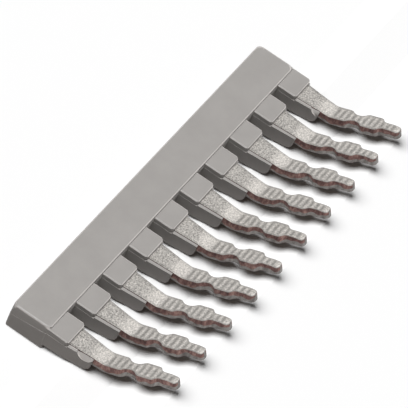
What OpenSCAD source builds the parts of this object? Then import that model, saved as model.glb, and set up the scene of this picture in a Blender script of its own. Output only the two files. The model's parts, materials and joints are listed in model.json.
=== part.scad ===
/* [Row of poles] */
// Number of poles
pole_count = 10; // [4:1:12]
// Distance from one pole to the next
pitch = 6.2; // [5.8:0.1:8]

/* [Bar] */
// Depth of the bar from back to front
bar_w = 5.4; // [5.2:0.05:6.5]
// Height of the bar
bar_h = 3.7; // [3.6:0.05:4.5]
// Length of the bar beyond the centre of the last pole
bar_end = 2.2; // [2.2:0.05:3]
// Rounding of the bar's long edges
bar_edge_r = 0.22; // [0.14:0.02:0.4]
// Rounding of the cover's upper edges at the ends of the bar
bar_end_r = 0.6; // [0.3:0.05:0.7]
// Rounding of the bar's upright corners
bar_corner_r = 0.45; // [0.2:0.05:0.6]
// Height of the seam between the shells at the back of the bar
seam_back_z = 2.1; // [2.05:0.05:2.6]
// Height of the seam at the front of the bar and along the sleeves
seam_front_z = 2.72; // [2.5:0.02:2.8]
// How far the base stands proud of the cover at the bar's ends and the sleeves' sides
seam_ledge = 0.03; // [0.01:0.01:0.08]

/* [Sleeves] */
// Width of a sleeve at the bar
sleeve_w = 4.26; // [4.1:0.02:4.36]
// Height of a tab's top above the bar's underside
sleeve_top_z = 3.43; // [3.3:0.01:3.5]
// Length of a tab from the bar's front
tab_len = 2.75; // [2.2:0.05:3.2]
// Rounding of a tab's free corner on the -X side
tab_corner_r = 0.8; // [0.3:0.05:1]
// Rounding of a tab's free corner on the +X side, at the high wall
tab_wall_corner_r = 0.45; // [0.3:0.05:1]
// Rounding of a tab's upper edges
tab_edge_r = 0.18; // [0.1:0.02:0.28]
// Length of a finger from the bar's front
finger_len = 6.2; // [5.6:0.1:6.6]
// Width of a finger at its free end
finger_end_w = 3.56; // [3.5:0.02:3.9]
// Height of a finger's underside at the bar
finger_root_z = 0.68; // [0.4:0.02:0.9]
// Height of a finger's underside at its free end
finger_end_z = 1.02; // [0.5:0.02:1.1]
// Rounding of a finger's lower end edge
finger_end_r = 0.9; // [0.3:0.05:1]
// Height of the finger wall on the +X side, beyond the tab
wall_high_z = 2.93; // [2.75:0.01:2.95]
// Height of the finger wall on the -X side, beyond the tab
wall_low_z = 2.4; // [2.1:0.05:2.7]
// Slope of the scoops in the high walls of the two end fingers
scoop_angle = 62; // [55:1:68]
// Start of the scoop on the first finger from the bar's front
scoop_first = 4.95; // [4.6:0.05:5.2]
// Start of the scoop on the last finger from the bar's front
scoop_last = 3.95; // [3.7:0.05:4.4]
// Radius of the scoops
scoop_r = 1.28; // [1:0.02:1.5]
// Depth of the scoops down their slope
scoop_depth = 0.77; // [0.5:0.01:0.8]
// Top of the wall left beside the scoops
scoop_lip = 0.03; // [0.02:0.01:0.08]

/* [Comb] */
// Thickness of the sheet
metal_t = 1.15; // [1:0.05:1.2]
// Height of the sheet's underside above the bar's underside
metal_z = 1.8; // [1.75:0.05:1.9]
// Width of the spine inside the bar
spine_w = 3.7; // [3:0.1:3.8]
// Setback of the spine's front edge from the bar's front
spine_setback = 0.7; // [0.5:0.05:0.8]
// Gap from the end of the spine to the end of the bar
spine_end_gap = 0.8; // [0.7:0.05:1.2]
// Width of a tongue in its sleeve
tongue_w = 3.2; // [2.9:0.05:3.25]
// Width of a tongue at the bend and the first lobe
neck_w = 2.55; // [2.4:0.01:2.7]
// Distance of the bend from the bar's front
bend_y = 7.43; // [7.2:0.01:8]
// Angle by which the contact zone is bent up
bend_angle = 24; // [10:0.5:28]
// Inner radius of the bend
bend_r = 1.5; // [0.8:0.1:1.8]
// Length of the contact zone from the bend to the tip
contact_len = 9.55; // [9.2:0.05:10.5]
// Distance of the waist from the bend
waist_at = 3.35; // [3.1:0.05:3.5]
// Width of the waist
waist_w = 1.35; // [1.2:0.01:1.6]
// Radius of the waist's hollows
waist_r = 1.3; // [1.1:0.05:1.5]
// Width of the second lobe
lobe_w = 2.65; // [2.5:0.01:2.8]
// End of the second lobe from the bend
lobe_end = 6.85; // [6.6:0.05:7]
// Rounding of the lobes' shoulders
lobe_r = 0.6; // [0.4:0.05:0.65]
// Width of the tip
tip_w = 1.37; // [1.2:0.01:1.5]
// Radius of the hollow between the second lobe and the tip
tip_hollow_r = 0.7; // [0.5:0.05:0.8]
// Rounding of the tip's corners
tip_r = 0.5; // [0.3:0.05:0.55]
// Number of cross grooves between the ribs
rib_count = 11; // [6:1:11]
// Distance from one groove to the next
rib_pitch = 0.8; // [0.6:0.01:0.82]
// First groove from the bend
rib_start = 0.55; // [0.55:0.01:0.7]
// Width of a groove
rib_groove_w = 0.46; // [0.3:0.02:0.48]
// Depth of a groove
rib_depth = 0.08; // [0.03:0.01:0.1]

/* [Locating pegs] */
// Radius of a peg on the base
peg_r = 0.6; // [0.4:0.05:0.8]
// Height of a peg above the sheet
peg_rise = 0.3; // [0.15:0.05:0.35]

/* [Fits] */
// Clearance around the comb in the housing
comb_clear = 0.05; // [0.02:0.01:0.08]
// Gap between a tab's end and the high finger wall
tab_clear = 0.03; // [0.02:0.01:0.1]
// Clearance around a peg in its hole and above its end
peg_clear = 0.05; // [0.02:0.01:0.1]

/* [Hidden] */
$fn = 48;

housing_colour = [0.67, 0.66, 0.64];
metal_colour = [0.76, 0.74, 0.72];

front_y = bar_w / 2;
bar_len = (pole_count - 1) * pitch + 2 * bar_end;
metal_top = metal_z + metal_t;
// How far a piece runs into its neighbour, and how far a cutter runs past what it cuts
root = 0.7;
past = 1;

spine_len = bar_len - 2 * spine_end_gap;
spine_back = -spine_setback - spine_w;
bend_reach = bend_r * tan(bend_angle / 2);
bend_start = bend_y - bend_reach;
groove_r = (pow(rib_groove_w / 2, 2) + pow(rib_depth, 2)) / (2 * rib_depth);

finger_slope = (finger_end_z - finger_root_z) / finger_len;
slope_len = sqrt(1 + pow(finger_slope, 2));

// Height of the seam behind the bar's front
function seam_z(y) = seam_front_z + (seam_front_z - seam_back_z) * y / bar_w;
function pole_x(i) = (i - (pole_count - 1) / 2) * pitch;
function gap_x(i) = (pole_x(i) + pole_x(i + 1)) / 2;
peg_gaps = [0, floor((pole_count - 2) / 2), pole_count - 2];
peg_y = -spine_setback - spine_w / 2;

// Half width of a tongue at a distance y from the bar's front
function tongue_half(y) = y <= tab_len ? tongue_w / 2
    : y >= bend_start ? neck_w / 2
    : tongue_w / 2 + (neck_w - tongue_w) / 2 * (y - tab_len) / (bend_start - tab_len);

// Profiles drawn in YZ are extruded along X, and profiles drawn in XZ along Y
module along_x(len) {
    rotate([90, 0, 90])
        linear_extrude(len, center = true)
            children();
}

module along_y(len) {
    rotate([90, 0, 0])
        linear_extrude(len, center = true)
            children();
}

module rounded_box_2d(x0, y0, x1, y1, r) {
    translate([x0 + r, y0])
        square([x1 - x0 - 2 * r, y1 - y0]);
    translate([x0, y0 + r])
        square([x1 - x0, y1 - y0 - 2 * r]);
    for (x = [x0 + r, x1 - r], y = [y0 + r, y1 - r])
        translate([x, y])
            circle(r);
}

// The side of the bar below the seam, or above it
module seam_side_2d(above) {
    far = above ? bar_h + past : -past;
    polygon([
        [past, far],
        [past, seam_front_z],
        [0, seam_front_z],
        [-bar_w, seam_z(-bar_w)],
        [-bar_w - past, seam_z(-bar_w)],
        [-bar_w - past, far]
    ]);
}

// Half of the bar, with rounded edges. Its ends stand back from the full length by inset, and their
// edges are rounded by end_r
module bar_half(above, inset, end_r) {
    half = bar_len / 2 - inset;
    intersection() {
        along_x(bar_len)
            intersection() {
                rounded_box_2d(-bar_w, 0, 0, bar_h, bar_edge_r);
                seam_side_2d(above);
            }
        linear_extrude(bar_h)
            rounded_box_2d(-half, -bar_w, half, 0, bar_corner_r);
        translate([0, -bar_w / 2, 0])
            along_y(bar_w)
                rounded_box_2d(-half, 0, half, bar_h, end_r);
    }
}

// The room for the comb between two heights, with its clearance
module comb_space(z0, z1) {
    reach = finger_len + past;
    translate([0, 0, z0])
        linear_extrude(z1 - z0) {
            translate([-spine_len / 2 - comb_clear, spine_back - comb_clear])
                square([spine_len + 2 * comb_clear, spine_w + 2 * comb_clear]);
            for (i = [0:pole_count - 1])
                translate([pole_x(i), 0])
                    polygon([
                        [-tongue_w / 2 - comb_clear, -spine_setback - root],
                        [tongue_w / 2 + comb_clear, -spine_setback - root],
                        [tongue_w / 2 + comb_clear, tab_len],
                        [tongue_half(reach) + comb_clear, reach],
                        [-tongue_half(reach) - comb_clear, reach],
                        [-tongue_w / 2 - comb_clear, tab_len]
                    ]);
        }
}

// The side of a finger: a sloping underside, a rounded lower end and the low wall beyond the tab
module finger_side_2d() {
    cy = finger_len - finger_end_r;
    cz = finger_root_z + finger_slope * cy + finger_end_r * slope_len;
    polygon([
        [-root, finger_root_z - finger_slope * root],
        [cy + finger_end_r * finger_slope / slope_len, cz - finger_end_r / slope_len],
        [cy, cz],
        [finger_len, cz],
        [finger_len, wall_low_z],
        [tab_len, wall_low_z],
        [tab_len, seam_front_z],
        [0, seam_front_z],
        [-root, seam_z(-root)]
    ]);
    intersection() {
        translate([cy, cz])
            circle(finger_end_r);
        translate([cy, cz - finger_end_r])
            square(finger_end_r);
    }
}

// The high wall of a finger, which stops short of the tab
module wall_side_2d() {
    polygon([
        [tab_len - root, metal_z],
        [finger_len, metal_z],
        [finger_len, wall_high_z],
        [tab_len + tab_clear, wall_high_z],
        [tab_len + tab_clear, seam_front_z],
        [tab_len - root, seam_front_z]
    ]);
}

module finger() {
    intersection() {
        union() {
            along_x(sleeve_w + past)
                finger_side_2d();
            translate([sleeve_w / 2, 0, 0])
                along_x(sleeve_w)
                    wall_side_2d();
        }
        linear_extrude(bar_h)
            polygon([
                [-sleeve_w / 2, -root],
                [sleeve_w / 2, -root],
                [sleeve_w / 2, tab_len],
                [finger_end_w / 2, finger_len],
                [-finger_end_w / 2, finger_len],
                [-sleeve_w / 2, tab_len]
            ]);
    }
}

// The cutter for one scoop, which slopes down from beside the tongue to the outside of the high wall
module scoop_cutter(start) {
    mid = start + sqrt(pow(scoop_r, 2) - pow(scoop_r - scoop_depth, 2));
    translate([tongue_half(mid) + comb_clear + scoop_lip, mid, wall_high_z])
        rotate([0, scoop_angle, 0])
            translate([scoop_depth - scoop_r, 0, 0])
                cylinder(r = scoop_r, h = past);
}

module housing_base() {
    color(housing_colour)
        translate([0, front_y, 0]) {
            difference() {
                union() {
                    bar_half(false, 0, bar_edge_r);
                    for (i = [0:pole_count - 1])
                        translate([pole_x(i), 0, 0])
                            finger();
                }
                comb_space(metal_z, bar_h);
                translate([pole_x(0), 0, 0])
                    scoop_cutter(scoop_first);
                translate([pole_x(pole_count - 1), 0, 0])
                    scoop_cutter(scoop_last);
            }
            for (g = peg_gaps)
                translate([gap_x(g), peg_y, metal_z - root])
                    cylinder(r = peg_r, h = root + metal_t + peg_rise);
        }
}

// Half of a tab's plan, running past the middle into the other half
module tab_half_2d(half, corner_r) {
    translate([-root, -root])
        square([root + half, root + tab_len - corner_r]);
    translate([-root, -root])
        square([root + half - corner_r, root + tab_len]);
    translate([half - corner_r, tab_len - corner_r])
        circle(corner_r);
}

// A tab: its plan, its cross-section and its side together round all its free edges
module tab() {
    half = sleeve_w / 2 - seam_ledge;
    intersection() {
        linear_extrude(bar_h) {
            tab_half_2d(half, tab_wall_corner_r);
            mirror([1, 0])
                tab_half_2d(half, tab_corner_r);
        }
        along_y(2 * (tab_len + past)) {
            translate([-half, seam_front_z])
                square([2 * half, sleeve_top_z - tab_edge_r - seam_front_z]);
            translate([-half + tab_edge_r, seam_front_z])
                square([2 * (half - tab_edge_r), sleeve_top_z - seam_front_z]);
            for (x = [-1, 1])
                translate([x * (half - tab_edge_r), sleeve_top_z - tab_edge_r])
                    circle(tab_edge_r);
        }
        along_x(sleeve_w + past) {
            translate([-root, seam_front_z])
                square([root + tab_len, sleeve_top_z - tab_edge_r - seam_front_z]);
            translate([-root, seam_front_z])
                square([root + tab_len - tab_edge_r, sleeve_top_z - seam_front_z]);
            translate([tab_len - tab_edge_r, sleeve_top_z - tab_edge_r])
                circle(tab_edge_r);
        }
    }
}

module housing_cover() {
    color(housing_colour)
        translate([0, front_y, 0])
            difference() {
                union() {
                    bar_half(true, seam_ledge, bar_end_r);
                    for (i = [0:pole_count - 1])
                        translate([pole_x(i), 0, 0])
                            tab();
                }
                comb_space(0, metal_top + comb_clear);
                for (g = peg_gaps)
                    translate([gap_x(g), peg_y, 0])
                        cylinder(r = peg_r + peg_clear, h = metal_top + peg_rise + peg_clear);
            }
}

// The waved outline of a contact zone: two lobes with a waist between them, and a narrower tip
module contact_outline_2d() {
    waist_x = waist_w / 2 + waist_r;
    one_x = neck_w / 2 - lobe_r;
    two_x = lobe_w / 2 - lobe_r;
    hollow_x = tip_w / 2 + tip_hollow_r;
    reach = waist_r + lobe_r;
    tip_reach = tip_hollow_r + lobe_r;
    one_d = sqrt(pow(reach, 2) - pow(waist_x - one_x, 2));
    two_d = sqrt(pow(reach, 2) - pow(waist_x - two_x, 2));
    tip_d = sqrt(pow(tip_reach, 2) - pow(hollow_x - two_x, 2));
    one_y = waist_at - one_d;
    two_y = waist_at + two_d;
    end_y = lobe_end - lobe_r;
    tip_y = end_y + tip_d;
    // Points where the rounded shoulders run into the hollows
    a = [one_x + lobe_r * (waist_x - one_x) / reach, one_y + lobe_r * one_d / reach];
    b = [two_x + lobe_r * (waist_x - two_x) / reach, two_y - lobe_r * two_d / reach];
    c = [two_x + lobe_r * (hollow_x - two_x) / tip_reach, end_y + lobe_r * tip_d / tip_reach];
    translate([-neck_w / 2, bend_reach])
        square([neck_w, one_y - bend_reach]);
    translate([-lobe_w / 2, two_y])
        square([lobe_w, end_y - two_y]);
    for (x = [-1, 1]) {
        translate([x * one_x, one_y])
            circle(lobe_r);
        translate([x * two_x, two_y])
            circle(lobe_r);
        translate([x * two_x, end_y])
            circle(lobe_r);
        translate([x * (tip_w / 2 - tip_r), contact_len - tip_r])
            circle(tip_r);
    }
    difference() {
        polygon([[-one_x, one_y], [-a[0], a[1]], [-b[0], b[1]], [-two_x, two_y],
            [two_x, two_y], b, a, [one_x, one_y]]);
        for (x = [-1, 1])
            translate([x * waist_x, waist_at])
                circle(waist_r);
    }
    difference() {
        polygon([[-two_x, end_y], [-c[0], c[1]], [-tip_w / 2, tip_y],
            [tip_w / 2, tip_y], c, [two_x, end_y]]);
        for (x = [-1, 1])
            translate([x * hollow_x, tip_y])
                circle(tip_hollow_r);
    }
    translate([-tip_w / 2, tip_y])
        square([tip_w, contact_len - tip_r - tip_y]);
    translate([-tip_w / 2 + tip_r, tip_y])
        square([tip_w - 2 * tip_r, contact_len - tip_y]);
}

module contact_zone() {
    difference() {
        translate([0, 0, -metal_t])
            linear_extrude(metal_t)
                contact_outline_2d();
        for (k = [0:rib_count - 1])
            translate([0, rib_start + k * rib_pitch, groove_r - rib_depth])
                rotate([0, 90, 0])
                    cylinder(r = groove_r, h = lobe_w + past, center = true);
    }
}

module tongue() {
    translate([0, 0, metal_z])
        linear_extrude(metal_t)
            polygon([
                [-tongue_w / 2, -spine_setback - root],
                [tongue_w / 2, -spine_setback - root],
                [tongue_w / 2, tab_len],
                [neck_w / 2, bend_start],
                [-neck_w / 2, bend_start],
                [-tongue_w / 2, tab_len]
            ]);
    translate([0, bend_start, metal_top + bend_r])
        rotate([0, 90, 0])
            rotate_extrude(angle = bend_angle)
                translate([bend_r, -neck_w / 2])
                    square([metal_t, neck_w]);
    translate([0, bend_y, metal_top])
        rotate([bend_angle, 0, 0])
            contact_zone();
}

module contact_comb() {
    color(metal_colour)
        translate([0, front_y, 0])
            difference() {
                union() {
                    translate([-spine_len / 2, spine_back, metal_z])
                        cube([spine_len, spine_w, metal_t]);
                    for (i = [0:pole_count - 1])
                        translate([pole_x(i), 0, 0])
                            tongue();
                }
                for (g = peg_gaps)
                    translate([gap_x(g), peg_y, metal_z - past])
                        cylinder(r = peg_r + peg_clear, h = metal_t + 2 * past);
            }
}

housing_base();
housing_cover();
contact_comb();
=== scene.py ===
"""Looks of a terminal block jumper, in metres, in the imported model's frame."""

import json
import math

import bmesh
import bpy
from mathutils import Matrix, Vector


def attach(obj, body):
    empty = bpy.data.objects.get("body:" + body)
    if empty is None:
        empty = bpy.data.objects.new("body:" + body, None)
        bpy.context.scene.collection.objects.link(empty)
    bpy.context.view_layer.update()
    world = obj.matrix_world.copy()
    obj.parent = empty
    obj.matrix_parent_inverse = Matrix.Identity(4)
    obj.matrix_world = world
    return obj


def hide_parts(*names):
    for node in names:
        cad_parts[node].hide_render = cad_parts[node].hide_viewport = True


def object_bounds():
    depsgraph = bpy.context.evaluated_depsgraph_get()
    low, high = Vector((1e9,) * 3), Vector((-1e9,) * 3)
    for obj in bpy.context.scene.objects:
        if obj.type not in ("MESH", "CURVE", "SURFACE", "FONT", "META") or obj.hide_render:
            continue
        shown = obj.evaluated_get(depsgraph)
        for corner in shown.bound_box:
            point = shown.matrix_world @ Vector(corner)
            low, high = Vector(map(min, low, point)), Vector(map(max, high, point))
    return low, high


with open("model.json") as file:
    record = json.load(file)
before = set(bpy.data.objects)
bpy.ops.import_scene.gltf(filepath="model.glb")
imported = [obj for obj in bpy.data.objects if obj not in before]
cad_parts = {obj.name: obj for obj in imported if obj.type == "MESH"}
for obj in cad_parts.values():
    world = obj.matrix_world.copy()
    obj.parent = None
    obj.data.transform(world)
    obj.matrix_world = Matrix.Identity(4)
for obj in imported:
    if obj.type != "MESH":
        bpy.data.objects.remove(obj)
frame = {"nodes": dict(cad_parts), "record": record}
cad_low, cad_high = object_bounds()

MM = 0.001

# The row of poles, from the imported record
TONGUES = next(m for m in frame["record"]["mounts"] if m["name"] == "tongues")
POLES = int(TONGUES["dims"]["count"])
PITCH = TONGUES["dims"]["spacing_x_mm"]
POLE_X = [(i - (POLES - 1) / 2) * PITCH for i in range(POLES)]

# Bar and sleeves; these sizes and all below are in millimetres
BAR_W = 5.4
BAR_H = 3.7
BAR_END = 2.2
BAR_EDGE_R = 0.22
BAR_HALF = PITCH * (POLES - 1) / 2 + BAR_END
FRONT_Y = BAR_W / 2
SEAM_Z = 2.72
TAB_TOP_Z = 3.43
WALL_HIGH_Z = 2.93
WALL_MID = 1.75

# Ends of the cover: the solid's rounding, and the slope, top edge and corners that the photo shows
COVER_SETBACK = 0.03
COVER_HALF = BAR_HALF - COVER_SETBACK
COVER_END_R = 0.6
COVER_DRAFT = 0.2
DRAFT_BELOW_SEAM = 0.3
COVER_TOP_R = 0.22
COVER_CORNER_R = 0.75
CORNER_X = COVER_HALF - COVER_END_R - COVER_CORNER_R
CORNER_Y = FRONT_Y - BAR_EDGE_R - COVER_CORNER_R
CORNER_CUTS = 8
CORNER_MARGIN = 0.05
SHAPED_H = 1.6
HOLD_LEN = 0.25

# Rounding of the housing's sharp edges: its width, and the share of it on each kind of edge
EDGE_W = 0.15
EDGE_SEGMENTS = 3
SHARP_ANGLE = math.radians(35)
WALL_EDGE = 1.0
SEAM_EDGE = 0.12
OTHER_EDGE = 0.4
CORNER_EDGE = 0.0

# Tolerances
TOUCH = 0.01
WELD = 0.001
CUT_SNAP = 0.0001
FLAT_ANGLE = math.radians(0.5)
UPWARD = 0.05

# Sheet of the comb, and its spine inside the bar
METAL_T = 1.15
METAL_TOP = 2.95
SPINE_W = 3.7
SPINE_SETBACK = 0.7
SPINE_END_GAP = 0.8
PEG_HOLE_R = 0.65
PEG_HOLE_SIDES = 32
PEG_GAPS = (0, (POLES - 2) // 2, POLES - 2)

# Outline of a tongue; distances count from the bar's front, and from the bend in the contact zone
ROOT_LAP = 0.4
TONGUE_W = 3.2
TAB_LEN = 2.75
NECK_W = 2.55
BEND_Y = 7.43
BEND_ANGLE = math.radians(24)
BEND_R = 1.5
BEND_REACH = BEND_R * math.tan(BEND_ANGLE / 2)
BEND_START = BEND_Y - BEND_REACH
CONTACT_LEN = 9.55
WAIST_AT = 3.35
WAIST_W = 1.35
WAIST_R = 1.3
LOBE_W = 2.65
LOBE_END = 6.85
LOBE_R = 0.6
TIP_W = 1.37
TIP_HOLLOW_R = 0.7
TIP_R = 0.5
RIB_COUNT = 11
RIB_PITCH = 0.8
RIB_START = 0.55
RIB_DEPTH = 0.08

# Finish of a tongue; each pair is where a change starts and how far it runs
CROWN = 0.03
CROWN_RUN = 2 * BEND_REACH + 0.6
TIP_CROWN = 0.16
TIP_LEN = 1.3
TOP_EDGE_R = 0.03
TOP_EDGE_MID = 0.3
BOTTOM_EDGE_R = 0.05
GAP_SHOWN = 0.05
GAP_CLOSES = (6.0, 1.0)
# Where the painted sheen of the tin grows in, then the painted shade along the rims on the flat and on the
# bent part
SHEEN_GROWS = (5.0, 1.4)
FLAT_RIM_SHADE = 0.5
BENT_RIM_SHADE = 0.95

# Across a tongue, from its middle to its edge, in shares of half its width; the pairs are as above, and the
# last one is where the painted shade along the rims grows in
ACROSS = (0.0, 0.2, 0.4, 0.55, 0.65, 0.75, 0.85, 0.93, 1.0)
RIBS_FADE = (0.5, 0.45)
RIM_SHADE_GROWS = (0.64, 0.36)

# How finely a tongue is divided
FLAT_STEPS = 16
BEND_STEPS = 8
STEPS_PER_RIB = 10
TIP_STEPS = 10
BOTTOM_EDGE_STEPS = 2

# Share of the cut edge that is bare copper: at the bend, and what it loses on the way to the tip.
# A hollow is (place, width), and a ragged wave is (turn for each millimetre, turn for each pole).
COPPER_SHARE = 0.77
COPPER_LEAST = 0.36
COPPER_MOST = 0.93
LOBE_LOSS = 0.15
LOBE_LOSS_GROWS = (1.0, 1.2)
TIP_LOSS = 0.14
TIP_LOSS_GROWS = (LOBE_END + 1.2, 1.2)
HOLLOW_LOSS = 0.1
HOLLOWS = ((WAIST_AT, 0.8), (LOBE_END + 0.3, 0.6))
RAGGED = 0.07
RAGGED_WAVES = ((1.9, 2.1), (4.7, 1.3))

# Materials: the depth of the fine grain, and the painted highlight that makes plastic paler where it slopes,
# most of all towards +X
GRAIN_DEPTH = 0.02
BLACK = (0, 0, 0)
WHITE = (1, 1, 1)
HIGHLIGHT_GAIN = 1.68
HIGHLIGHT_FACING = (0.38, 0, 1)
HIGHLIGHT_SLOPES = ((0.52, BLACK), (0.68, WHITE), (0.94, WHITE), (0.99, BLACK))

# Floor as (y, height), and the light
FLOOR_LINE = ((FRONT_Y, 0), (7, 0.7), (11.9, 0.6), (19, 4.25))
FLOOR_GAP = 0.01
FLOOR_REACH = 1200
AMBIENT = 0.045
MIRRORED = 0.6

# Lamps: the direction each comes from, the share of full light on a level face, and the spread in degrees
KEY = ((0.08, 0.05, 1.0), 0.95, 65)
EDGE_GLINT = ((0.29, -0.16, 0.95), 0.75, 12)
FLOOR_KEY = ((0.3, -0.5, 1.0), 0.98, 52)


def ease(x):
    """A smooth step from 0 to 1."""
    x = min(max(x, 0.0), 1.0)
    return x * x * (3 - 2 * x)


def grown(x, change):
    """How far a change, given as its start and its run, has come at x."""
    start, run = change
    return ease((x - start) / run)


# Camera

def make_camera():
    """The photograph's long lens, rolled so that the bar runs up to the right."""
    azimuth = math.radians(102.82)
    elevation = math.radians(45.48)
    roll = math.radians(24.95)
    aim = Vector((-2.71, FRONT_Y + 3.037, 2.0)) * MM
    distance = 565.8 * MM
    back = Vector((
        math.sin(azimuth) * math.cos(elevation),
        -math.cos(azimuth) * math.cos(elevation),
        math.sin(elevation),
    ))
    level = Vector((0, 0, 1)).cross(back).normalized()
    right = level * math.cos(roll) + back.cross(level) * math.sin(roll)
    turn = Matrix((right, back.cross(right), back)).transposed().to_4x4()
    camera = bpy.data.objects.new("photo_camera", bpy.data.cameras.new("photo_camera"))
    camera.data.sensor_width = 36
    camera.data.lens = 406.2
    camera.data.clip_start = 0.05
    camera.data.clip_end = 20
    camera.matrix_world = Matrix.Translation(aim + back * distance) @ turn
    bpy.context.scene.collection.objects.link(camera)
    bpy.context.scene.camera = camera


# Materials

class Nodes:
    """A short way to write a material's node tree."""

    def __init__(self, name):
        self.material = bpy.data.materials.new(name)
        self.material.use_nodes = True
        self.tree = self.material.node_tree
        self.shader = self.tree.nodes["Principled BSDF"]

    def add(self, kind, links=None, **settings):
        """A new node with its settings, and its sockets linked or set."""
        node = self.tree.nodes.new(kind)
        for key, value in settings.items():
            setattr(node, key, value)
        for socket, source in (links or {}).items():
            self.put(node.inputs[socket], source)
        return node

    def put(self, socket, source):
        """Links a socket to another node's output, or sets its value."""
        if isinstance(source, bpy.types.NodeSocket):
            self.tree.links.new(source, socket)
        else:
            socket.default_value = source

    def attribute(self, name):
        return self.add("ShaderNodeAttribute", attribute_name=name).outputs["Fac"]

    def place(self, stretch):
        """Object coordinates in millimetres, stretched along each axis."""
        coords = self.add("ShaderNodeTexCoord").outputs["Object"]
        scale = [x / MM for x in stretch]
        return self.add("ShaderNodeMapping", {"Vector": coords, "Scale": scale}).outputs["Vector"]

    def noise(self, scale, detail, rough=0.55, stretch=(1, 1, 1)):
        links = {"Vector": self.place(stretch), "Scale": scale, "Detail": detail, "Roughness": rough}
        return self.add("ShaderNodeTexNoise", links).outputs["Fac"]

    def ramp(self, source, stops):
        """A colour ramp with stops given as (place, colour)."""
        node = self.add("ShaderNodeValToRGB", {"Fac": source})
        elements = node.color_ramp.elements
        while len(elements) < len(stops):
            elements.new(0.5)
        for element, (place, colour) in zip(elements, stops):
            element.position = place
            element.color = (*colour, 1)
        return node.outputs["Color"]

    def span(self, source, low, high, start=0.3, end=0.7):
        """Maps a range, by default a texture's usual one, to low..high."""
        links = {"Value": source, "From Min": start, "From Max": end, "To Min": low, "To Max": high}
        return self.add("ShaderNodeMapRange", links).outputs["Result"]

    def scaled(self, colour, factor):
        links = {0: colour, "Scale": factor}
        return self.add("ShaderNodeVectorMath", links, operation="SCALE").outputs["Vector"]

    def grain(self, height, strength):
        """The normal of a surface that is finely uneven."""
        links = {"Height": height, "Distance": GRAIN_DEPTH * MM, "Strength": strength}
        return self.add("ShaderNodeBump", links).outputs["Normal"]

    def finish(self, **sockets):
        """The material, with sockets of its main shader set by name."""
        for name, source in sockets.items():
            self.put(self.shader.inputs[name.replace("_", " ")], source)
        return self.material


def housing_plastic():
    """Matt moulded polyamide: warm grey, faintly clouded, with a fine eroded grain, and a painted highlight
    that makes it paler on its rounded edges and in the scoops."""
    n = Nodes("housing_plastic")
    dark = (0.345, 0.328, 0.314)
    light = (0.372, 0.354, 0.339)
    cloud = n.noise(0.35, detail=3)
    colour = n.ramp(cloud, [(0.3, dark), (0.7, light)])
    # Painted highlight: the colour is made paler where the surface slopes, most of all towards +X
    normal = n.add("ShaderNodeNewGeometry").outputs["Normal"]
    turn = n.add("ShaderNodeVectorMath", {0: normal, 1: HIGHLIGHT_FACING}, operation="DOT_PRODUCT")
    slope = n.ramp(turn.outputs["Value"], HIGHLIGHT_SLOPES)
    highlight_gain = n.span(slope, 1.0, HIGHLIGHT_GAIN, 0.0, 1.0)
    highlighted = n.scaled(colour, highlight_gain)
    grain = n.noise(9.0, detail=2)
    return n.finish(
        Base_Color=highlighted,
        Roughness=n.span(grain, 0.38, 0.5),
        Normal=n.grain(grain, 0.35),
    )


def tin():
    """Dull tin plate: speckled grey, with a painted sheen before the bend and on the contact zone, and
    painted shade in the grooves and along the rims.
    """
    n = Nodes("tin_plate")
    grey = (0.36, 0.342, 0.32)
    painted_sheen = n.attribute("painted_sheen")
    groove = n.attribute("groove")
    cloud = n.span(n.noise(0.8, detail=2), 0.94, 1.06)
    speckle = n.noise(4.8, detail=2, rough=0.6)
    light = n.span(speckle, 0.4, 1.6)
    # Painted sheen: the tin is made brighter before the bend and on the contact zone, and its speckle calmer
    # there
    smooth = n.span(painted_sheen, 0.0, 0.4, 0.0, 1.0)
    calm = n.add("ShaderNodeMix", {"Factor": smooth, "A": light, "B": 1.0}).outputs["Result"]
    # Painted shade: darker in the grooves and along the rims
    shade = n.span(groove, 1.18, 0.61, 0.0, 1.0)
    sheen_gain = n.span(painted_sheen, 1.0, 1.46, 0.0, 1.0)
    total = cloud
    for factor in (calm, shade, sheen_gain):
        total = n.add("ShaderNodeMath", {0: total, 1: factor}, operation="MULTIPLY").outputs[0]
    return n.finish(
        Base_Color=n.scaled(grey, total),
        Metallic=0.22,
        Roughness=n.span(speckle, 0.42, 0.58),
        Normal=n.grain(speckle, 0.4),
    )


def cut_copper():
    """Bare copper where the sheet was cut: dull reddish brown, drawn along the stroke of the die."""
    n = Nodes("cut_copper")
    dark = (0.09, 0.05, 0.048)
    brown = (0.225, 0.122, 0.108)
    pale = (0.43, 0.275, 0.24)
    stain = n.noise(1.9, detail=6, rough=0.7, stretch=(1, 1, 0.5))
    strokes = n.noise(9.0, detail=3, stretch=(1, 1, 0.15))
    return n.finish(
        Base_Color=n.ramp(stain, [(0.34, dark), (0.5, brown), (0.66, pale)]),
        Metallic=0.5,
        Roughness=n.span(strokes, 0.42, 0.6),
        Normal=n.grain(strokes, 0.5),
    )


def cut_tin():
    """Tin drawn over the lower part of the cut edge."""
    n = Nodes("drawn_tin")
    dark = (0.15, 0.133, 0.125)
    pale = (0.39, 0.37, 0.352)
    stain = n.noise(1.8, detail=5, stretch=(1, 1, 0.4))
    strokes = n.noise(9.0, detail=3, stretch=(1, 1, 0.15))
    return n.finish(
        Base_Color=n.ramp(stain, [(0.32, dark), (0.68, pale)]),
        Metallic=0.4,
        Roughness=n.span(strokes, 0.38, 0.55),
        Normal=n.grain(strokes, 0.5),
    )


# Housing

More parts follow.
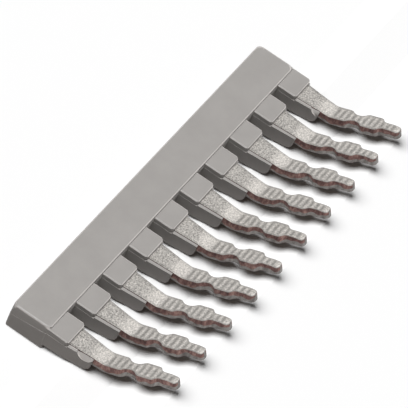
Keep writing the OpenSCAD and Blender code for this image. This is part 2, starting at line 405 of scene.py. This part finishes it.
def edge_weight(a, b):
    """Share of the full rounding for a sharp edge from a to b: all of it on the outer top edge of a high
    wall, hardly any on the seam along the sleeves, and none at the cover's front corners, where faces are
    small."""
    middle = (a + b) / 2
    in_corner = abs(middle.x) > CORNER_X and CORNER_Y < middle.y < FRONT_Y + TOUCH
    if in_corner and middle.z > TAB_TOP_Z - TOUCH:
        return CORNER_EDGE
    beside = middle.x - min(POLE_X, key=lambda x: abs(x - middle.x))
    if max(abs(a.z - WALL_HIGH_Z), abs(b.z - WALL_HIGH_Z)) < TOUCH and beside > WALL_MID:
        return WALL_EDGE
    if max(abs(a.z - SEAM_Z), abs(b.z - SEAM_Z)) < TOUCH and middle.y > FRONT_Y:
        return SEAM_EDGE
    return OTHER_EDGE


def inset(z, r):
    """How far a bar edge of radius r stands back at the height z."""
    return r - math.sqrt(r**2 - min(max(z - BAR_H + r, 0.0), r) ** 2)


def drafted_inset(z):
    """The same for the cover's ends as the photo shows them: a slope up to a small rounding."""
    rise = (z - SEAM_Z + DRAFT_BELOW_SEAM) / (BAR_H - SEAM_Z + DRAFT_BELOW_SEAM)
    return COVER_DRAFT * min(max(rise, 0.0), 1.0) + inset(z, COVER_TOP_R)


def upper_faces(work, low):
    """The faces of the cover that look up and lie over the height low, without the tabs."""
    return [
        face for face in work.faces
        if face.normal.z > UPWARD
        and face.calc_center_median().y < (FRONT_Y - TOUCH) * MM
        and min(vert.co.z for vert in face.verts) > low
    ]


def cut_corners(work):
    """Adds the points that the cover's upper corners need to bend."""
    low = (BAR_H - COVER_END_R - CORNER_MARGIN) * MM
    along = Vector((1, 0, 0))
    across = Vector((0, 1, 0))
    for k in range(1, CORNER_CUTS + 1):
        x = (COVER_HALF - COVER_END_R - COVER_CORNER_R * k / CORNER_CUTS) * MM
        y = (FRONT_Y - BAR_EDGE_R - COVER_CORNER_R * k / CORNER_CUTS) * MM
        for place, direction in ((x, along), (-x, along), (y, across), (-y, across)):
            faces = upper_faces(work, low)
            edges = {edge for face in faces for edge in face.edges}
            verts = {vert for face in faces for vert in face.verts}
            bmesh.ops.bisect_plane(
                work,
                geom=[*verts, *edges, *faces],
                dist=CUT_SNAP * MM,
                plane_co=direction * place,
                plane_no=direction,
            )


def shape_ends(work):
    """Rounds the upper corners of the cover in plan and slopes its ends. A point is moved by its distances
    p from the end and q from the long side."""
    cut_corners(work)
    for vert in work.verts:
        x, y, z = vert.co / MM
        p = COVER_HALF - abs(x)
        q = FRONT_Y - abs(y)
        if z < BAR_H - SHAPED_H or q < -WELD or p > COVER_END_R + COVER_CORNER_R + TOUCH:
            continue
        if y > 0:
            rise = (z - TAB_TOP_Z) / (BAR_H - BAR_EDGE_R - TAB_TOP_Z)
        else:
            rise = (z - SEAM_Z) / (BAR_H - SEAM_Z)
        r = COVER_CORNER_R * ease(rise)
        end = inset(z, COVER_END_R)
        edge = inset(z, BAR_EDGE_R)
        u = r - (p - end)
        v = r - (q - edge)
        if u > 0 and v > 0:
            shrink = max(u, v) / math.hypot(u, v)
            p = r - u * shrink + end
            q = r - v * shrink + edge
        if p < COVER_END_R + TOUCH:
            hold = ease((FRONT_Y - y) / HOLD_LEN) if z < TAB_TOP_Z + TOUCH else 1.0
            p += (drafted_inset(z) - end) * hold
        vert.co = Vector((math.copysign(COVER_HALF - p, x), math.copysign(FRONT_Y - q, y), z)) * MM


def even_normals(piece):
    """Shades large faces flat and lets the rounded edges take up the turn."""
    normals = piece.modifiers.new("normals", "WEIGHTED_NORMAL")
    normals.keep_sharp = False


def add_shell(node, name, material):
    """A copy of a CAD node with its triangles merged back into faces and its sharp edges rounded."""
    mesh = frame["nodes"][node].data.copy()
    mesh.name = name
    mesh.materials.clear()
    work = bmesh.new()
    work.from_mesh(mesh)
    bmesh.ops.remove_doubles(work, verts=work.verts, dist=WELD * MM)
    bmesh.ops.dissolve_limit(work, angle_limit=FLAT_ANGLE, verts=work.verts, edges=work.edges)
    if node == "housing_cover":
        shape_ends(work)
    for face in work.faces:
        face.smooth = True
    weight_of = work.edges.layers.float.new("bevel_weight_edge")
    for edge in work.edges:
        if edge.is_manifold and edge.calc_face_angle() > SHARP_ANGLE:
            edge[weight_of] = edge_weight(*(vert.co / MM for vert in edge.verts))
    work.to_mesh(mesh)
    work.free()
    if "custom_normal" in mesh.attributes:
        mesh.attributes.remove(mesh.attributes["custom_normal"])
    mesh.materials.append(material)
    piece = bpy.data.objects.new(name, mesh)
    bpy.context.scene.collection.objects.link(piece)
    bevel = piece.modifiers.new("edges", "BEVEL")
    bevel.width = EDGE_W * MM
    bevel.segments = EDGE_SEGMENTS
    bevel.limit_method = "WEIGHT"
    bevel.use_clamp_overlap = True
    bevel.harden_normals = False
    even_normals(piece)
    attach(piece, "root")
    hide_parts(node)


# Comb, with its finishes in the order of its materials

TIN, COPPER, DRAWN = range(3)


def contact_half_width(s):
    """Half a contact zone's width at a distance s from the bend: two lobes, a waist and a narrower tip."""
    waist_x = WAIST_W / 2 + WAIST_R
    one_x = NECK_W / 2 - LOBE_R
    two_x = LOBE_W / 2 - LOBE_R
    hollow_x = TIP_W / 2 + TIP_HOLLOW_R
    reach = WAIST_R + LOBE_R
    tip_reach = TIP_HOLLOW_R + LOBE_R
    one_d = math.sqrt(reach**2 - (waist_x - one_x) ** 2)
    two_d = math.sqrt(reach**2 - (waist_x - two_x) ** 2)
    tip_d = math.sqrt(tip_reach**2 - (hollow_x - two_x) ** 2)
    one_s = WAIST_AT - one_d
    two_s = WAIST_AT + two_d
    end_s = LOBE_END - LOBE_R
    tip_s = end_s + tip_d
    round_s = CONTACT_LEN - TIP_R
    if s < one_s:
        return NECK_W / 2
    if s < one_s + LOBE_R * one_d / reach:
        return one_x + math.sqrt(LOBE_R**2 - (s - one_s) ** 2)
    if s < two_s - LOBE_R * two_d / reach:
        return waist_x - math.sqrt(WAIST_R**2 - (s - WAIST_AT) ** 2)
    if s < two_s:
        return two_x + math.sqrt(LOBE_R**2 - (s - two_s) ** 2)
    if s < end_s:
        return LOBE_W / 2
    if s < end_s + LOBE_R * tip_d / tip_reach:
        return two_x + math.sqrt(LOBE_R**2 - (s - end_s) ** 2)
    if s < tip_s:
        return hollow_x - math.sqrt(TIP_HOLLOW_R**2 - (s - tip_s) ** 2)
    if s < round_s:
        return TIP_W / 2
    return TIP_W / 2 - TIP_R + math.sqrt(max(TIP_R**2 - (s - round_s) ** 2, 0))


def rib_drop(s):
    """Depth of the cross grooves at a distance s from the bend."""
    turns = (s - RIB_START) / RIB_PITCH
    if not -0.5 < turns < RIB_COUNT - 0.5:
        return 0.0
    return RIB_DEPTH * (0.5 + 0.5 * math.cos(2 * math.pi * turns))


def tongue_stations():
    """Places along a tongue, in the plane x = 0, each as (point on the top face, angle, half width, depth of
    the cross grooves, crown, painted sheen)."""
    rows = []

    def add(y, point, angle, half, drop=0.0):
        crown = CROWN * grown(y, (BEND_START, CROWN_RUN))
        crown += TIP_CROWN * grown(y - BEND_Y, (CONTACT_LEN - TIP_LEN, TIP_LEN))
        # The last value is where the painted sheen grows in
        rows.append((point, angle, half, drop, crown, grown(y, SHEEN_GROWS)))

    for y in (-SPINE_SETBACK - ROOT_LAP, 0.0, TAB_LEN):
        add(y, Vector((0, y, METAL_TOP)), 0.0, TONGUE_W / 2 - GAP_SHOWN)
    for k in range(1, FLAT_STEPS):
        y = TAB_LEN + (BEND_START - TAB_LEN) * k / FLAT_STEPS
        half = TONGUE_W / 2 + (NECK_W - TONGUE_W) / 2 * k / FLAT_STEPS
        add(y, Vector((0, y, METAL_TOP)), 0.0, half - GAP_SHOWN * (1 - grown(y, GAP_CLOSES)))
    for k in range(BEND_STEPS):
        angle = BEND_ANGLE * k / BEND_STEPS
        y = BEND_START + BEND_R * math.sin(angle)
        z = METAL_TOP + BEND_R * (1 - math.cos(angle))
        add(y, Vector((0, y, z)), angle, NECK_W / 2)
    along = Vector((0, math.cos(BEND_ANGLE), math.sin(BEND_ANGLE)))
    corner = Vector((0, BEND_Y, METAL_TOP))
    round_s = CONTACT_LEN - TIP_R
    count = int((round_s - BEND_REACH) / (RIB_PITCH / STEPS_PER_RIB))
    places = [BEND_REACH + (round_s - BEND_REACH) * k / count for k in range(count)]
    places += [round_s + TIP_R * math.sin(math.pi / 2 * k / TIP_STEPS) for k in range(TIP_STEPS + 1)]
    for s in places:
        add(BEND_Y + s, corner + along * s, BEND_ANGLE, contact_half_width(s), rib_drop(s))
    return rows


def tongue_section(half, drop, crown, split):
    """The ring of a tongue's section as (x, height over the top face, painted shade in the grooves and along
    the rims), and the finish of each strip. The ribs fade out on the crowned rims."""
    # Painted shade along the rims, stronger on the bent part
    rim_shade = FLAT_RIM_SHADE + (BENT_RIM_SHADE - FLAT_RIM_SHADE) * min(crown / CROWN, 1.0)
    flat = half - TOP_EDGE_R
    low_flat = half - BOTTOM_EDGE_R
    right = []
    for u in ACROSS:
        ribs = 1 - grown(u, RIBS_FADE)
        # Painted shade: darker in the grooves and along the rims
        groove = drop / RIB_DEPTH * ribs + rim_shade * grown(u, RIM_SHADE_GROWS)
        right.append((flat * u, -crown * u**3 - drop * ribs, groove))
    right.append((half - TOP_EDGE_R * TOP_EDGE_MID, -crown - TOP_EDGE_R * TOP_EDGE_MID, rim_shade))
    right.append((half, -crown - TOP_EDGE_R, rim_shade))
    right.append((half, -split, 0.0))
    for k in range(BOTTOM_EDGE_STEPS + 1):
        turn = math.pi / 2 * k / BOTTOM_EDGE_STEPS
        x = low_flat + BOTTOM_EDGE_R * math.cos(turn)
        right.append((x, -METAL_T + BOTTOM_EDGE_R * (1 - math.sin(turn)), 0.0))
    right.append((0.0, -METAL_T, 0.0))
    upper = len(ACROSS) + 1
    strips = [TIN] * upper + [COPPER] + [DRAWN] * BOTTOM_EDGE_STEPS + [TIN] * 2
    left = [(-x, height, groove) for x, height, groove in right[-2:0:-1]]
    return right + left, strips + strips[::-1]


def split_depth(s, pole):
    """Depth of the ragged line where the copper of a cut edge gives way to drawn tin: the tin runs higher in
    the hollows of the outline and at the tip."""
    hollow = sum(math.exp(-((s - middle) / width) ** 2) for middle, width in HOLLOWS)
    ragged = sum(RAGGED * math.sin(a * s + b * pole) for a, b in RAGGED_WAVES)
    share = COPPER_SHARE - LOBE_LOSS * grown(s, LOBE_LOSS_GROWS) - TIP_LOSS * grown(s, TIP_LOSS_GROWS)
    share += ragged - HOLLOW_LOSS * hollow
    return METAL_T * min(max(share, COPPER_LEAST), COPPER_MOST)


def add_tongue(work, pole, x0):
    """One tongue, swept through its stations, with its blunt tip closed."""
    groove_of = work.verts.layers.float["groove"]
    painted_sheen_of = work.verts.layers.float["painted_sheen"]
    rings = []
    for point, angle, half, drop, crown, painted_sheen in tongue_stations():
        up = Vector((0, -math.sin(angle), math.cos(angle)))
        base = point + Vector((x0, FRONT_Y, 0))
        section, strips = tongue_section(half, drop, crown, split_depth(point.y - BEND_Y, pole))
        ring = []
        for x, height, groove in section:
            vert = work.verts.new((base + Vector((x, 0, 0)) + up * height) * MM)
            vert[groove_of] = groove
            vert[painted_sheen_of] = painted_sheen
            ring.append(vert)
        rings.append(ring)
    size = len(rings[0])
    for a, b in zip(rings, rings[1:]):
        for k in range(size):
            face = work.faces.new((a[k], a[(k + 1) % size], b[(k + 1) % size], b[k]))
            face.material_index = strips[k]
    work.faces.new(rings[0][::-1])
    work.faces.new(rings[-1]).material_index = DRAWN


def add_spine(work):
    """The strip that joins the tongues inside the bar, with its holes for the pegs."""
    half = BAR_HALF - SPINE_END_GAP
    front = FRONT_Y - SPINE_SETBACK
    back = front - SPINE_W
    middle = (front + back) / 2
    turns = [2 * math.pi * k / PEG_HOLE_SIDES for k in range(PEG_HOLE_SIDES)]
    loops = [[(-half, back), (half, back), (half, front), (-half, front)]]
    for gap in PEG_GAPS:
        x = (POLE_X[gap] + POLE_X[gap + 1]) / 2
        loops.append([(x + PEG_HOLE_R * math.cos(t), middle + PEG_HOLE_R * math.sin(t)) for t in turns])
    edges = []
    for loop in loops:
        verts = [work.verts.new(Vector((x, y, METAL_TOP - METAL_T)) * MM) for x, y in loop]
        edges += [work.edges.new((a, b)) for a, b in zip(verts, verts[1:] + verts[:1])]
    made = bmesh.ops.triangle_fill(work, edges=edges, use_beauty=True)
    sheet = [g for g in made["geom"] if isinstance(g, bmesh.types.BMFace)]
    raised = bmesh.ops.extrude_face_region(work, geom=sheet, use_keep_orig=True)
    tops = [g for g in raised["geom"] if isinstance(g, bmesh.types.BMVert)]
    bmesh.ops.translate(work, verts=tops, vec=(0, 0, METAL_T * MM))


def add_comb():
    """The tongues and the spine that joins them, as one piece of sheet."""
    work = bmesh.new()
    # Per-point shares of the painted shade and the painted sheen
    work.verts.layers.float.new("groove")
    work.verts.layers.float.new("painted_sheen")
    for pole, x in enumerate(POLE_X):
        add_tongue(work, pole, x)
    add_spine(work)
    bmesh.ops.recalc_face_normals(work, faces=work.faces)
    for face in work.faces:
        face.smooth = True
    mesh = bpy.data.meshes.new("comb")
    work.to_mesh(mesh)
    work.free()
    piece = bpy.data.objects.new("comb", mesh)
    bpy.context.scene.collection.objects.link(piece)
    even_normals(piece)
    for material in (tin(), cut_copper(), cut_tin()):
        mesh.materials.append(material)
    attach(piece, "root")
    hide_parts("contact_comb")
    return piece


# Floor and light

def combine(tree, operation, first, second):
    """The larger of two values, or their difference, kept between 0 and 1."""
    node = tree.nodes.new("ShaderNodeMath")
    node.operation = operation
    node.use_clamp = True
    tree.links.new(first, node.inputs[0])
    tree.links.new(second, node.inputs[1])
    return node.outputs[0]


def seen_at_first(tree):
    """1 for rays from the camera and for their mirror reflections, 0 once light has been scattered."""
    path = tree.nodes.new("ShaderNodeLightPath").outputs
    unscattered = combine(tree, "MAXIMUM", path["Is Camera Ray"], path["Is Glossy Ray"])
    return combine(tree, "SUBTRACT", unscattered, path["Diffuse Depth"])


def add_floor():
    """A sheet, level under the bar, that rises below the fingers and again below the tongues. It looks pale
    but scatters little light, so that the shadow stays dark."""
    low = cad_low[2] - FLOOR_GAP * MM
    far = FLOOR_REACH * MM
    line = [(y * MM, low + z * MM) for y, z in FLOOR_LINE]
    line = [(-far, line[0][1]), *line, (far, line[-1][1])]
    corners = [(x, y, z) for y, z in line for x in (-far, far)]
    strips = [(2 * k, 2 * k + 1, 2 * k + 3, 2 * k + 2) for k in range(len(line) - 1)]
    mesh = bpy.data.meshes.new("floor")
    mesh.from_pydata(corners, [], strips)
    floor = bpy.data.objects.new("floor", mesh)
    bpy.context.scene.collection.objects.link(floor)

    n = Nodes("floor")
    dim = n.add("ShaderNodeBsdfDiffuse", {"Color": (0.14, 0.115, 0.1, 1)})
    pale = n.add("ShaderNodeBsdfDiffuse", {"Color": (0.97, 0.97, 0.97, 1)})
    both = n.add("ShaderNodeMixShader", {0: seen_at_first(n.tree), 1: dim.outputs[0], 2: pale.outputs[0]})
    n.put(n.tree.nodes["Material Output"].inputs["Surface"], both.outputs[0])
    n.tree.nodes.remove(n.shader)
    mesh.materials.append(n.material)
    return floor


def make_world():
    """White behind the part, dimmer in its mirror reflections, and a faint even light from all round."""
    world = bpy.data.worlds.new("studio")
    bpy.context.scene.world = world
    world.use_nodes = True
    tree = world.node_tree
    level = tree.nodes.new("ShaderNodeMapRange")
    level.inputs["To Min"].default_value = AMBIENT
    level.inputs["To Max"].default_value = MIRRORED
    tree.links.new(seen_at_first(tree), level.inputs["Value"])
    behind = tree.nodes.new("ShaderNodeLightPath").outputs["Is Camera Ray"]
    strength = combine(tree, "MAXIMUM", level.outputs["Result"], behind)
    background = tree.nodes["Background"]
    background.inputs["Color"].default_value = (*WHITE, 1)
    tree.links.new(strength, background.inputs["Strength"])


def add_sun(name, source, share, spread, only=(), without=(), diffuse=True):
    """A lamp from the direction source that gives a level face that share of full light, for the objects
    only, or for all but the objects without. A lamp that isn't diffuse shows in gloss alone."""
    towards = Vector(source).normalized()
    lamp = bpy.data.lights.new(name, "SUN")
    lamp.angle = math.radians(spread)
    lamp.energy = share * math.pi / towards.z
    sun = bpy.data.objects.new(name, lamp)
    sun.rotation_mode = "QUATERNION"
    sun.rotation_quaternion = (-towards).to_track_quat("-Z", "Y")
    bpy.context.scene.collection.objects.link(sun)
    lit = bpy.data.collections.new(name + "_lights")
    for piece in (*only, *without):
        lit.objects.link(piece)
    for entry in lit.collection_objects:
        entry.light_linking.link_state = "INCLUDE" if only else "EXCLUDE"
    sun.light_linking.receiver_collection = lit
    sun.visible_diffuse = diffuse


bpy.context.scene.view_settings.view_transform = "Standard"
make_camera()
plastic = housing_plastic()
add_shell("housing_base", "base_shell", plastic)
add_shell("housing_cover", "cover_shell", plastic)
comb = add_comb()
floor = add_floor()
make_world()
add_sun("key", *KEY, without=(floor,))
add_sun("glint_edge", *EDGE_GLINT, without=(floor, comb), diffuse=False)
add_sun("floor_key", *FLOOR_KEY, only=(floor,))
